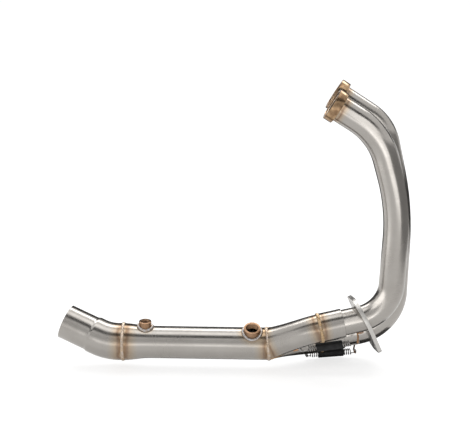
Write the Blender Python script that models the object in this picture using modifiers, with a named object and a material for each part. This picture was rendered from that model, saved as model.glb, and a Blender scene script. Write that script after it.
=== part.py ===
"""Twin-header link pipe for a motorcycle exhaust, without a catalyst.

Two header pipes leave the exhaust ports side by side, drop in front of the engine, turn under it
and slip into a two-into-one collector. One mid pipe with two threaded bosses leads on to the
outlet bend. Metres, +Z up. +X is the front of the motorcycle, and the side that the photograph
shows faces -Y. The origin is midway between the two port faces.
"""

from math import ceil, cos, pi, radians, sin, sqrt

import bmesh
import bpy
from mathutils import Matrix, Vector

# Clearance between pieces that touch, and the steps of round shapes
GAP = 0.0003
TUBE_SIDES = 20
BEND_STEP = 7.0
RING_STEPS = 32
SMALL_RING_STEPS = 20
DRILL_STEPS = 24
SADDLE_STEPS = 48
WIRE_SIDES = 8

# Ports
PORT_SPACING = 0.058
PORT_PITCH = 31.0
PORT_YAW = 6.5

# Header pipes
HEADER_OD = 0.0381
HEADER_WALL = 0.0015
NEAR_TOE = 0.0
NEAR_LEAD = 0.0410
NEAR_TOP_RADIUS = 0.0995
NEAR_TOP_ANGLE = 42.3
NEAR_UPPER_STRAIGHT = 0.0257
NEAR_SWEEP_RADIUS = 0.296
NEAR_SWEEP_ANGLE = 18.4
NEAR_DROP = 0.0714
NEAR_ROLL = 13.6
NEAR_LOW_RADIUS = 0.0570
NEAR_LOW_ANGLE = 76.8
NEAR_TAIL = 0.0538
FAR_TOE = -2.2
FAR_LEAD = 0.0572
FAR_TOP_RADIUS = 0.0650
FAR_TOP_ANGLE = 45.2
FAR_UPPER_STRAIGHT = 0.0457
FAR_SWEEP_RADIUS = 0.439
FAR_SWEEP_ANGLE = 14.0
FAR_DROP = 0.0806
FAR_ROLL = 15.2
FAR_LOW_RADIUS = 0.0641
FAR_LOW_ANGLE = 80.5
FAR_TAIL = 0.0524

# Port collars
COLLAR_OD = 0.0475
COLLAR_LENGTH = 0.0130
COLLAR_CHAMFER = 0.0008
COLLAR_RECESS = 0.0025

# Loose flange that clamps both collars to the ports
FLANGE_THICKNESS = 0.0058
FLANGE_HOLE = 0.0450
FLANGE_LAND = 0.0110
FLANGE_STUD_SPACING = 0.0795
FLANGE_STUD_HOLE = 0.0088
FLANGE_EAR_RADIUS = 0.0095
FLANGE_FROM_SOCKET = 0.0302
FLANGE_YAW = 4.5
FLANGE_LEAN = -14.7
FLANGE_OUTLINE_STEPS = 72
FLANGE_HOLE_STEPS = 32
FLANGE_STUD_STEPS = 16

# Slip sockets of the collector
SOCKET_WALL = 0.0015
SOCKET_CLEARANCE = 0.00065
SOCKET_LENGTH = 0.0330
SOCKET_STOP = 0.0040

# Collector
COLLECTOR_REACH = 0.0761
COLLECTOR_SIDE = 0.0050
BRANCH_OD = 0.0412
COLLECTOR_FALL = 0.0156
BRANCH_STATIONS = 12
BRANCH_EASE = 0.70
BRANCH_BORE_OVERRUN = 0.004
SEAM_GAP = 0.0004

# Mid pipe and outlet
MID_OD = 0.0483
MID_WALL = 0.0015
MID_LENGTH = 0.2155
FLARE_LENGTH = 0.0400
FLARE_STATIONS = 6
OUTLET_OD = 0.0552
OUTLET_WALL = 0.0015
OUTLET_LEAD = 0.0055
OUTLET_RADIUS = 0.0730
OUTLET_ANGLE = 24.2
OUTLET_ROLL = 34.7
OUTLET_SHOULDER = 0.0080
OUTLET_STEP = 0.0030
SPIGOT_OD = 0.0522
SPIGOT_LENGTH = 0.0440

# Weld beads
WELD_WIDTH = 0.0032
WELD_CROWN = 0.0009
BOSS_WELD = 0.0034

# Threaded bosses on the mid pipe
LAMBDA_FROM_MERGE = 0.0232
LAMBDA_LEAN = 19.5
LAMBDA_OD = 0.0250
LAMBDA_BORE = 0.0169
LAMBDA_MOUTH = 0.0188
LAMBDA_HEIGHT = 0.0080
TEST_FROM_OUTLET = 0.0330
TEST_LEAN = 0.0
TEST_OD = 0.0186
TEST_BORE = 0.0102
TEST_MOUTH = 0.0120
TEST_HEIGHT = 0.0095
BOSS_EDGE = 0.0006
BOSS_WELD_POINTS = 24

# Retaining springs with their sleeves and hooks
HOOK_WIRE = 0.0026
HOOK_FOOT = 0.0080
HOOK_TURN = 9.0
HEADER_HOOK_FROM_SOCKET = 0.0185
HEADER_HOOK_DEPTH_NEAR = 0.0158
HEADER_HOOK_DEPTH_FAR = 0.0148
HEADER_HOOK_LEAN_NEAR = 0.0
HEADER_HOOK_LEAN_FAR = 10.0
COLLECTOR_HOOK_SHARE_NEAR = 0.46
COLLECTOR_HOOK_SHARE_FAR = 0.33
COLLECTOR_HOOK_DEPTH_NEAR = 0.0032
COLLECTOR_HOOK_DEPTH_FAR = 0.0066
COLLECTOR_HOOK_LEAN_NEAR = 0.0
COLLECTOR_HOOK_LEAN_FAR = 16.0
SPRING_WIRE = 0.0016
SPRING_OD = 0.0100
SPRING_COIL_LENGTH = 0.0620
SPRING_TURNS = 20
SPRING_POINTS_PER_TURN = 8
SPRING_EYE_RADIUS = 0.0030
SPRING_EYE_STEPS = 6
SLEEVE_OD = 0.0128
SLEEVE_WALL = 0.0011
SLEEVE_LENGTH = 0.0390

# Finishes: colour, metallic, roughness
STEEL = ((0.62, 0.60, 0.57, 1.0), 1.0, 0.28)
PLATE_STEEL = ((0.70, 0.69, 0.67, 1.0), 1.0, 0.35)
HEAT_GOLD = ((0.62, 0.46, 0.28, 1.0), 1.0, 0.30)
HEAT_BROWN = ((0.40, 0.27, 0.18, 1.0), 1.0, 0.35)
BEAD = ((0.50, 0.40, 0.31, 1.0), 1.0, 0.40)
SPRING_STEEL = ((0.55, 0.55, 0.54, 1.0), 1.0, 0.30)
RUBBER = ((0.012, 0.012, 0.012, 1.0), 0.0, 0.60)

FRONT = Vector((1.0, 0.0, 0.0))
ACROSS = Vector((0.0, 1.0, 0.0))
UP = Vector((0.0, 0.0, 1.0))


def clear_scene():
    for obj in list(bpy.data.objects):
        bpy.data.objects.remove(obj, do_unlink=True)


def make_collection(name, hidden):
    collection = bpy.data.collections.new(name)
    bpy.context.scene.collection.children.link(collection)
    collection.hide_render = hidden
    return collection


def give_material(obj, finish):
    colour, metallic, roughness = finish
    material = bpy.data.materials.new(obj.name + "_finish")
    material.use_nodes = True
    shader = material.node_tree.nodes["Principled BSDF"]
    shader.inputs["Base Color"].default_value = colour
    shader.inputs["Metallic"].default_value = metallic
    shader.inputs["Roughness"].default_value = roughness
    material.diffuse_color = colour
    obj.data.materials.clear()
    obj.data.materials.append(material)


def add_part(name, data, finish, matrix=None):
    obj = bpy.data.objects.new(name, data)
    PARTS.objects.link(obj)
    if matrix is not None:
        obj.matrix_world = matrix
    give_material(obj, finish)
    return obj


def add_cutter(name, data, matrix=None):
    obj = bpy.data.objects.new(name, data)
    CUTTERS.objects.link(obj)
    obj.hide_render = True
    obj.display_type = "WIRE"
    if matrix is not None:
        obj.matrix_world = matrix
    return obj


def cut(obj, cutter):
    modifier = obj.modifiers.new("cut_" + cutter.name, "BOOLEAN")
    modifier.operation = "DIFFERENCE"
    modifier.object = cutter


def frame(origin, z_axis, x_hint):
    """A placement whose Z runs along z_axis and whose X is the part of x_hint square to it."""
    z = z_axis.normalized()
    x = (x_hint - z * x_hint.dot(z)).normalized()
    y = z.cross(x)
    turn = Matrix((x, y, z)).transposed()
    return Matrix.Translation(origin) @ turn.to_4x4()


def turn_about(vector, axis, degrees):
    return Matrix.Rotation(radians(degrees), 3, axis) @ vector


def smooth_step(share):
    return share * share * (3.0 - 2.0 * share)


# Paths

def bent_path(start, heading, axis, steps):
    """Follows straights, bends and rolls as a tube bender makes them.

    It returns the points and the last heading. A bend turns the heading about the axis.
    """
    points = [start.copy()]
    for kind, size, angle in steps:
        if kind == "straight":
            points.append(points[-1] + heading * size)
        elif kind == "roll":
            axis = turn_about(axis, heading, angle)
        else:
            centre = points[-1] + axis.cross(heading) * size
            arm = points[-1] - centre
            count = max(2, ceil(abs(angle) / BEND_STEP))
            for step in range(1, count + 1):
                points.append(centre + turn_about(arm, axis, angle * step / count))
            heading = turn_about(heading, axis, angle)
    return points, heading


def point_before_end(points, distance):
    """The point that lies this far before the end of a path, and the heading there."""
    left = distance
    for first, second in zip(points[-2::-1], points[:0:-1]):
        length = (second - first).length
        if left <= length:
            return second.lerp(first, left / length), (second - first).normalized()
        left -= length
    return points[0], (points[1] - points[0]).normalized()


def crossing(points, on_plane, normal):
    """Where a path last crosses a plane, and its heading there."""
    for first, second in zip(points[-2::-1], points[:0:-1]):
        before = (first - on_plane).dot(normal)
        after = (second - on_plane).dot(normal)
        if before * after <= 0.0 and before != after:
            return first.lerp(second, before / (before - after)), (second - first).normalized()
    return points[-1], (points[-1] - points[-2]).normalized()


# Shapes

def path_curve(name, points, radius, sides, closed=False, caps=True, scales=None):
    curve = bpy.data.curves.new(name, "CURVE")
    curve.dimensions = "3D"
    curve.bevel_depth = radius
    curve.bevel_resolution = sides // 2 - 2
    curve.use_fill_caps = caps
    spline = curve.splines.new("POLY")
    spline.points.add(len(points) - 1)
    for index, point in enumerate(points):
        spline.points[index].co = (*point, 1.0)
        if scales:
            spline.points[index].radius = scales[index]
    spline.use_cyclic_u = closed
    spline.use_smooth = True
    return curve


def hollow_tube(name, points, outer, wall, finish, scales=None):
    curve = path_curve(name, points, outer / 2, TUBE_SIDES, caps=False, scales=scales)
    obj = add_part(name, curve, finish)
    shell = obj.modifiers.new("wall", "SOLIDIFY")
    shell.thickness = wall
    shell.offset = -1.0
    return obj


def turned_mesh(name, profile):
    """A mesh turned about local Z from a closed outline of (radius, height) points.

    The outline runs down its outer side.
    """
    mesh = bpy.data.meshes.new(name)
    shape = bmesh.new()
    verts = [shape.verts.new((radius, 0.0, height)) for radius, height in profile]
    for first, second in zip(verts, verts[1:] + verts[:1]):
        shape.edges.new((first, second))
    shape.to_mesh(mesh)
    shape.free()
    return mesh


def turn(obj, steps=RING_STEPS):
    screw = obj.modifiers.new("turn", "SCREW")
    screw.steps = steps
    screw.render_steps = steps
    screw.use_merge_vertices = True
    screw.merge_threshold = 0.00001
    screw.use_smooth_shade = True


def turned_part(name, profile, finish, matrix, steps=RING_STEPS):
    obj = add_part(name, turned_mesh(name, profile), finish, matrix)
    turn(obj, steps)
    return obj


def turned_cutter(name, profile, matrix, steps=RING_STEPS):
    obj = add_cutter(name, turned_mesh(name, profile), matrix)
    turn(obj, steps)
    return obj


def ring_profile(inner, outer, low, high):
    return [(outer, high), (outer, low), (inner, low), (inner, high)]


def loft_mesh(name, rings):
    """A closed mesh through rings of points, each ring with as many points."""
    mesh = bpy.data.meshes.new(name)
    shape = bmesh.new()
    rows = [[shape.verts.new(point) for point in ring] for ring in rings]
    count = len(rings[0])
    for row, following in zip(rows, rows[1:]):
        for step in range(count):
            right = (step + 1) % count
            shape.faces.new((row[step], row[right], following[right], following[step]))
    for face in shape.faces:
        face.smooth = True
    shape.faces.new(rows[0][::-1])
    shape.faces.new(rows[-1])
    bmesh.ops.recalc_face_normals(shape, faces=shape.faces)
    shape.to_mesh(mesh)
    shape.free()
    return mesh


def half_space(name, on_plane, outward, size=0.2):
    """A block whose one face lies in the plane, and which fills the side that outward names."""
    shape = bmesh.new()
    bmesh.ops.create_cube(shape, size=size)
    bmesh.ops.translate(shape, verts=shape.verts, vec=(0.0, 0.0, size / 2))
    mesh = bpy.data.meshes.new(name)
    shape.to_mesh(mesh)
    shape.free()
    return add_cutter(name, mesh, frame(on_plane, outward, ACROSS + FRONT * 0.3))


def hull_outline(circles, count):
    """The outline round a set of (x, y, radius) circles, as by a tight band."""
    outline = []
    for step in range(count):
        angle = 2 * pi * step / count
        away = (cos(angle), sin(angle))
        x, y, radius = max(circles, key=lambda c: c[0] * away[0] + c[1] * away[1] + c[2])
        outline.append((x + radius * away[0], y + radius * away[1]))
    return outline


def circle_outline(x, y, radius, count):
    return [(x + radius * cos(2 * pi * k / count), y + radius * sin(2 * pi * k / count))
            for k in range(count)]


# Routes of the main pieces

def header_start(side):
    """The centre of a port face, the heading into the pipe and the axis that its bends turn about."""
    across = turn_about(ACROSS, UP, -PORT_YAW)
    toe = NEAR_TOE if side < 0 else FAR_TOE
    level = turn_about(FRONT, UP, -PORT_YAW)
    heading = turn_about(level, across, PORT_PITCH)
    tilt_axis = heading.cross(across)
    heading = turn_about(heading, tilt_axis, side * toe)
    axis = turn_about(across, tilt_axis, side * toe)
    return across * side * PORT_SPACING / 2, heading, axis


def header_route(side):
    start, heading, axis = header_start(side)
    start = start + heading * COLLAR_RECESS
    if side < 0:
        steps = [
            ("straight", NEAR_LEAD - COLLAR_RECESS, 0),
            ("bend", NEAR_TOP_RADIUS, NEAR_TOP_ANGLE),
            ("straight", NEAR_UPPER_STRAIGHT, 0),
            ("bend", NEAR_SWEEP_RADIUS, NEAR_SWEEP_ANGLE),
            ("straight", NEAR_DROP, 0),
            ("roll", 0, -NEAR_ROLL),
            ("bend", NEAR_LOW_RADIUS, NEAR_LOW_ANGLE),
            ("straight", NEAR_TAIL, 0),
        ]
    else:
        steps = [
            ("straight", FAR_LEAD - COLLAR_RECESS, 0),
            ("bend", FAR_TOP_RADIUS, FAR_TOP_ANGLE),
            ("straight", FAR_UPPER_STRAIGHT, 0),
            ("bend", FAR_SWEEP_RADIUS, FAR_SWEEP_ANGLE),
            ("straight", FAR_DROP, 0),
            ("roll", 0, -FAR_ROLL),
            ("bend", FAR_LOW_RADIUS, FAR_LOW_ANGLE),
            ("straight", FAR_TAIL, 0),
        ]
    return bent_path(start, heading, axis, steps)


def side_name(side):
    return "near" if side < 0 else "far"


class Layout:
    """Where the pieces that follow the headers go."""

    def __init__(self):
        self.points, self.heading, self.weld, self.branch_start = {}, {}, {}, {}
        for side in (-1, 1):
            points, heading = header_route(side)
            self.points[side], self.heading[side] = points, heading
            self.weld[side] = points[-1] + heading * SOCKET_STOP
            self.branch_start[side] = self.weld[side] + heading * (WELD_WIDTH + 2 * GAP)
        middle = (self.branch_start[-1] + self.branch_start[1]) / 2
        self.flow = -FRONT
        mean = (self.heading[-1] + self.heading[1]).normalized()
        self.mitre = (mean + self.flow).normalized()
        self.merge = middle + Vector((-COLLECTOR_REACH, -COLLECTOR_SIDE, -COLLECTOR_FALL))
        apart = self.branch_start[1] - self.branch_start[-1]
        run = (self.merge - middle).normalized()
        self.apart = (apart - run * apart.dot(run)).normalized()
        self.mid_end = self.merge + self.flow * MID_LENGTH
        self.mid_frame = frame(self.merge, self.flow, UP)

    def branch_point(self, side, share):
        """A point of the branch's centre line, the facing of its section there and its outer radius.

        The branch leaves its socket along the header, turns early and runs almost straight on.
        """
        start = self.branch_start[side]
        run = self.merge - self.mitre * (WELD_WIDTH / 2 + GAP) - start
        first = self.heading[side] * run.length * BRANCH_EASE
        square, cube = share ** 2, share ** 3
        point = (start + run * (3 * square - 2 * cube)
                 + first * (cube - 2 * square + share) + run * (cube - square))
        facing = self.heading[side].lerp(self.mitre, smooth_step(share)).normalized()
        return point, facing, (BRANCH_OD + (MID_OD - BRANCH_OD) * share ** 4) / 2


def mid_radius(along):
    """The outer radius of the mid pipe at a distance from the merge."""
    flare_start = MID_LENGTH - FLARE_LENGTH
    share = min(1.0, max(0.0, (along - flare_start) / FLARE_LENGTH))
    return MID_OD / 2 + (OUTLET_OD - MID_OD) / 2 * smooth_step(share)


# Pieces

def make_collar(side):
    centre, heading, axis = header_start(side)
    bore, outer = HEADER_OD / 2 + GAP, COLLAR_OD / 2
    edge = COLLAR_CHAMFER
    profile = [
        (outer - edge, 0.0),
        (outer, -edge),
        (outer, edge - COLLAR_LENGTH),
        (outer - edge, -COLLAR_LENGTH),
        (bore, -COLLAR_LENGTH),
        (bore, 0.0),
    ]
    name = "port_collar_" + side_name(side)
    turned_part(name, profile, HEAT_GOLD, frame(centre, -heading, axis))


def make_header(side, layout):
    hollow_tube("header_pipe_" + side_name(side), layout.points[side], HEADER_OD, HEADER_WALL, STEEL)


def make_flange(layout):
    on_near = point_before_end(layout.points[-1], SOCKET_LENGTH - SOCKET_STOP + FLANGE_FROM_SOCKET)[0]
    normal = turn_about(layout.heading[-1], ACROSS, FLANGE_LEAN)
    normal = turn_about(normal, UP, FLANGE_YAW)
    on_far = crossing(layout.points[1], on_near, normal)[0]
    pipe_x, stud_y = PORT_SPACING / 2, FLANGE_STUD_SPACING / 2
    circles = [
        (-pipe_x, 0.0, FLANGE_HOLE / 2 + FLANGE_LAND),
        (pipe_x, 0.0, FLANGE_HOLE / 2 + FLANGE_LAND),
        (0.0, -stud_y, FLANGE_EAR_RADIUS),
        (0.0, stud_y, FLANGE_EAR_RADIUS),
    ]
    outlines = [
        hull_outline(circles, FLANGE_OUTLINE_STEPS),
        circle_outline(-pipe_x, 0.0, FLANGE_HOLE / 2, FLANGE_HOLE_STEPS),
        circle_outline(pipe_x, 0.0, FLANGE_HOLE / 2, FLANGE_HOLE_STEPS),
        circle_outline(0.0, -stud_y, FLANGE_STUD_HOLE / 2, FLANGE_STUD_STEPS),
        circle_outline(0.0, stud_y, FLANGE_STUD_HOLE / 2, FLANGE_STUD_STEPS),
    ]
    curve = bpy.data.curves.new("twin_port_flange", "CURVE")
    curve.dimensions = "2D"
    curve.fill_mode = "BOTH"
    curve.extrude = FLANGE_THICKNESS / 2
    for outline in outlines:
        spline = curve.splines.new("POLY")
        spline.points.add(len(outline) - 1)
        for index, (x, y) in enumerate(outline):
            spline.points[index].co = (x, y, 0.0, 1.0)
        spline.use_cyclic_u = True
    add_part("twin_port_flange", curve, PLATE_STEEL,
             frame((on_near + on_far) / 2, normal, on_far - on_near))


def make_socket(side, layout):
    bore = HEADER_OD / 2 + SOCKET_CLEARANCE
    profile = ring_profile(bore, bore + SOCKET_WALL, -SOCKET_LENGTH, 0.0)
    placed = frame(layout.weld[side], layout.heading[side], layout.apart)
    turned_part("collector_socket_" + side_name(side), profile, STEEL, placed)


def bead_profile(inner, outer, width, crown):
    """A ring that fills the joint between two tubes, with a crowned outside."""
    half = width / 2
    return [
        (outer, half),
        (outer + crown * 0.75, half * 0.55),
        (outer + crown, 0.0),
        (outer + crown * 0.75, -half * 0.55),
        (outer, -half),
        (inner, -half),
        (inner, half),
    ]


def make_socket_weld(side, layout):
    centre = layout.weld[side] + layout.heading[side] * (WELD_WIDTH / 2 + GAP)
    inner = BRANCH_OD / 2 - HEADER_WALL
    outer = HEADER_OD / 2 + SOCKET_CLEARANCE + SOCKET_WALL
    profile = bead_profile(inner, outer, WELD_WIDTH, WELD_CROWN)
    placed = frame(centre, layout.heading[side], layout.apart)
    turned_part("socket_weld_" + side_name(side), profile, HEAT_GOLD, placed)


def branch_rings(side, layout, inset, beyond):
    rings = []
    for station in range(BRANCH_STATIONS + 1):
        point, heading, radius = layout.branch_point(side, station / BRANCH_STATIONS)
        if station == 0:
            point = point - heading * beyond
        if station == BRANCH_STATIONS:
            point = point + heading * beyond
        placed = frame(point, heading, layout.apart)
        size = radius - inset
        rings.append([
            placed @ Vector((size * cos(2 * pi * k / TUBE_SIDES), size * sin(2 * pi * k / TUBE_SIDES), 0.0))
            for k in range(TUBE_SIDES)
        ])
    return rings


def make_branch(side, layout):
    name = "collector_branch_" + side_name(side)
    obj = add_part(name, loft_mesh(name, branch_rings(side, layout, 0.0, 0.0)), STEEL)
    bore_mesh = loft_mesh(name + "_bore", branch_rings(side, layout, HEADER_WALL, BRANCH_BORE_OVERRUN))
    cut(obj, add_cutter(name + "_bore", bore_mesh))
    plane = layout.merge + layout.apart * side * SEAM_GAP / 2
    cut(obj, half_space(name + "_seam", plane, layout.apart * -side))


def make_merge_weld(layout):
    inner = MID_OD / 2 - MID_WALL
    profile = bead_profile(inner, MID_OD / 2, WELD_WIDTH, WELD_CROWN)
    turned_part("merge_weld", profile, BEAD, frame(layout.merge, layout.mitre, layout.apart))


def mid_stations(offset, beyond):
    """Stations of (distance from the merge, radius) along the outside of the mid pipe."""
    flare_start = MID_LENGTH - FLARE_LENGTH
    stations = [(-beyond, MID_OD / 2 + offset)]
    for step in range(FLARE_STATIONS + 1):
        along = flare_start + FLARE_LENGTH * step / FLARE_STATIONS
        stations.append((along, mid_radius(along) + offset))
    return stations


def make_mid_pipe(layout):
    lead = MID_OD / 2
    outside = mid_stations(0.0, lead)
    end = WELD_WIDTH / 2 + GAP
    outside[-1] = (MID_LENGTH - end, outside[-1][1])
    profile = [(radius, along) for along, radius in outside[::-1]]
    profile += [(radius - MID_WALL, along) for along, radius in outside]
    pipe = turned_part("mid_pipe", profile, STEEL, layout.mid_frame)
    cut(pipe, half_space("mid_pipe_mitre", layout.merge + layout.mitre * end, -layout.mitre))
    for name, along, lean, bore in (
        ("lambda_hole", LAMBDA_FROM_MERGE, LAMBDA_LEAN, LAMBDA_BORE),
        ("test_hole", MID_LENGTH - TEST_FROM_OUTLET, TEST_LEAN, TEST_BORE),
    ):
        drill = ring_drill(bore / 2, MID_OD)
        cut(pipe, turned_cutter(name, drill, boss_frame(layout, along, lean), DRILL_STEPS))


def ring_drill(radius, reach):
    return [(0.0, reach), (radius, reach), (radius, 0.0), (0.0, 0.0)]


def boss_frame(layout, along, lean):
    """Origin on the pipe's axis, Z out through the boss, leaning from upright to the near side."""
    out = turn_about(UP, FRONT, lean)
    return frame(layout.merge + layout.flow * along, out, layout.flow)


def make_boss(name, layout, along, lean, outer, bore, mouth, height):
    top = mid_radius(along) + height
    lead_in = (mouth - bore) / 2
    profile = [
        (outer / 2 - BOSS_EDGE, top),
        (outer / 2, top - BOSS_EDGE),
        (outer / 2, MID_OD / 4),
        (bore / 2, MID_OD / 4),
        (bore / 2, top - lead_in),
        (mouth / 2, top),
    ]
    boss = turned_part(name, profile, HEAT_BROWN, boss_frame(layout, along, lean))
    stations = mid_stations(GAP, MID_OD)
    stations.append((MID_LENGTH + MID_OD, stations[-1][1]))
    saddle = [(0.0, stations[-1][0])] + [(radius, z) for z, radius in stations[::-1]]
    saddle.append((0.0, stations[0][0]))
    cut(boss, turned_cutter(name + "_saddle", saddle, layout.mid_frame, SADDLE_STEPS))


def make_boss_weld(name, layout, along, lean, outer):
    """A bead round the foot of a boss, lying in the corner between it and the pipe."""
    bead = BOSS_WELD / 2
    reach = outer / 2 + bead + GAP
    placed = boss_frame(layout, along, lean)
    points = []
    for step in range(BOSS_WELD_POINTS):
        angle = 2 * pi * step / BOSS_WELD_POINTS
        forward, sideways = reach * cos(angle), reach * sin(angle)
        on_radius = mid_radius(along + forward) + bead + GAP
        points.append(placed @ Vector((forward, sideways, sqrt(on_radius ** 2 - sideways ** 2))))
    add_part(name, path_curve(name, points, bead, WIRE_SIDES, closed=True), BEAD)


def make_outlet(layout):
    centre = layout.mid_end
    inner = OUTLET_OD / 2 - OUTLET_WALL
    profile = bead_profile(inner, OUTLET_OD / 2, WELD_WIDTH, WELD_CROWN)
    turned_part("outlet_weld", profile, BEAD, frame(centre, layout.flow, UP))
    start = centre + layout.flow * (WELD_WIDTH / 2 + GAP)
    axis = turn_about(ACROSS, layout.flow, OUTLET_ROLL)
    points, heading = bent_path(start, layout.flow, axis, [
        ("straight", OUTLET_LEAD, 0),
        ("bend", OUTLET_RADIUS, OUTLET_ANGLE),
        ("straight", OUTLET_SHOULDER, 0),
        ("straight", OUTLET_STEP, 0),
        ("straight", SPIGOT_LENGTH, 0),
    ])
    narrow = SPIGOT_OD / OUTLET_OD
    scales = [1.0] * (len(points) - 2) + [narrow, narrow]
    hollow_tube("outlet_bend", points, OUTLET_OD, OUTLET_WALL, STEEL, scales)


# Springs and hooks

def under_pipe(point, heading, radius, lean):
    """The centre of a wire that lies along the underside of a pipe, and the way down there."""
    level_down = -(UP - heading * UP.dot(heading)).normalized()
    down = turn_about(level_down, heading, -lean)
    return point + down * (radius + HOOK_WIRE / 2 + 2 * GAP), down


def under_header(layout, side, from_end, lean):
    point, heading = point_before_end(layout.points[side], from_end)
    return under_pipe(point, heading, HEADER_OD / 2, lean)


def under_branch(layout, side, share, lean):
    point, heading, radius = layout.branch_point(side, share)
    return under_pipe(point, heading, radius, lean)


def make_hook(name, foot_end, foot, seat, away, down, finish):
    """A bent rod: a foot welded along the pipe, a drop beside the spring's eye and a pin through it.

    The seat is the centre of the eye's wire, and away points from the spring's middle.
    """
    clear = (HOOK_WIRE + SPRING_WIRE) / 2 + GAP
    inside = seat - away * clear
    beside = away.cross(down).normalized()
    if beside.dot(foot - seat) < 0.0:
        beside = -beside
    drop = (inside - foot).dot(down)
    points = [
        foot_end,
        foot,
        foot.lerp(inside + beside * clear * 1.5, 0.25) + down * drop * 0.1,
        inside + beside * clear * 1.6 - down * min(drop * 0.3, HOOK_WIRE),
        inside + beside * clear * 0.9,
        inside - beside * clear,
        inside - beside * clear * 1.9 + away * HOOK_WIRE * 0.4,
    ]
    add_part(name, path_curve(name, points, HOOK_WIRE / 2, WIRE_SIDES), finish)


def make_hooks_and_spring(side, layout):
    name = side_name(side)
    near = side < 0
    heading = layout.heading[side]
    lean = HEADER_HOOK_LEAN_NEAR if near else HEADER_HOOK_LEAN_FAR
    from_end = SOCKET_LENGTH - SOCKET_STOP + HEADER_HOOK_FROM_SOCKET
    under, down = under_header(layout, side, from_end, lean)
    header_seat = under + down * (HEADER_HOOK_DEPTH_NEAR if near else HEADER_HOOK_DEPTH_FAR)
    make_hook("header_hook_" + name,
              under_header(layout, side, from_end + HOOK_FOOT, lean + side * HOOK_TURN)[0],
              under_header(layout, side, from_end, lean + side * HOOK_TURN)[0],
              header_seat, -heading, down, HEAT_BROWN)
    lean = COLLECTOR_HOOK_LEAN_NEAR if near else COLLECTOR_HOOK_LEAN_FAR
    share = COLLECTOR_HOOK_SHARE_NEAR if near else COLLECTOR_HOOK_SHARE_FAR
    foot_share = share + HOOK_FOOT / COLLECTOR_REACH
    under, down = under_branch(layout, side, share, lean)
    branch_seat = under + down * (COLLECTOR_HOOK_DEPTH_NEAR if near else COLLECTOR_HOOK_DEPTH_FAR)
    axis = (header_seat - branch_seat).normalized()
    make_hook("collector_hook_" + name,
              under_branch(layout, side, foot_share, lean + side * HOOK_TURN)[0],
              under_branch(layout, side, share, lean + side * HOOK_TURN)[0],
              branch_seat, -axis, down, SPRING_STEEL)
    placed = frame((header_seat + branch_seat) / 2, axis, down)
    make_spring("spring_" + name, placed, (header_seat - branch_seat).length)
    half, outer = SLEEVE_LENGTH / 2, SLEEVE_OD / 2
    sleeve = ring_profile(outer - SLEEVE_WALL, outer, -half, half)
    turned_part("spring_sleeve_" + name, sleeve, RUBBER, placed, SMALL_RING_STEPS)


def make_spring(name, placed, between_seats):
    """A coil about local Z with an open eye at each end that reaches round the hook's wire."""
    coil = (SPRING_OD - SPRING_WIRE) / 2
    eye = SPRING_EYE_RADIUS
    half = SPRING_COIL_LENGTH / 2
    centre = between_seats / 2
    right = [(eye, half + SPRING_WIRE)]
    for step in range(SPRING_EYE_STEPS + 1):
        angle = pi * step / SPRING_EYE_STEPS
        right.append((eye * cos(angle), centre - eye + eye * sin(angle)))
    right.append((-eye, half + SPRING_WIRE * 2))
    points = [Vector((x, 0.0, -z)) for x, z in right[::-1]]
    total = SPRING_TURNS * SPRING_POINTS_PER_TURN
    for step in range(total + 1):
        angle = 2 * pi * step / SPRING_POINTS_PER_TURN
        height = -half + SPRING_COIL_LENGTH * step / total
        points.append(Vector((coil * cos(angle), coil * sin(angle), height)))
    points += [Vector((x, 0.0, z)) for x, z in right]
    points = [placed @ point for point in points]
    add_part(name, path_curve(name, points, SPRING_WIRE / 2, WIRE_SIDES), SPRING_STEEL)


def build():
    layout = Layout()
    for side in (-1, 1):
        make_collar(side)
        make_header(side, layout)
        make_socket(side, layout)
        make_socket_weld(side, layout)
        make_branch(side, layout)
        make_hooks_and_spring(side, layout)
    make_flange(layout)
    make_merge_weld(layout)
    make_mid_pipe(layout)
    make_boss("lambda_boss", layout, LAMBDA_FROM_MERGE, LAMBDA_LEAN,
              LAMBDA_OD, LAMBDA_BORE, LAMBDA_MOUTH, LAMBDA_HEIGHT)
    make_boss_weld("lambda_boss_weld", layout, LAMBDA_FROM_MERGE, LAMBDA_LEAN, LAMBDA_OD)
    make_boss("test_port_boss", layout, MID_LENGTH - TEST_FROM_OUTLET, TEST_LEAN,
              TEST_OD, TEST_BORE, TEST_MOUTH, TEST_HEIGHT)
    make_boss_weld("test_port_weld", layout, MID_LENGTH - TEST_FROM_OUTLET, TEST_LEAN, TEST_OD)
    make_outlet(layout)


clear_scene()
PARTS = make_collection("link_pipe", False)
CUTTERS = make_collection("cutters", True)
build()
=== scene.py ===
"""Twin-header exhaust link pipe, dressed for its picture.

Metres, +Z up. +X is the front of the motorcycle and the viewer stands on the -Y side.
The tubes are bent, welded and turned here again with fine steps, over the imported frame's
plain solids.
"""

from math import ceil, cos, pi, radians, sin, sqrt

import bpy
from bpy.props import FloatProperty, FloatVectorProperty, IntProperty, PointerProperty
from mathutils import Matrix, Vector


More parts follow.
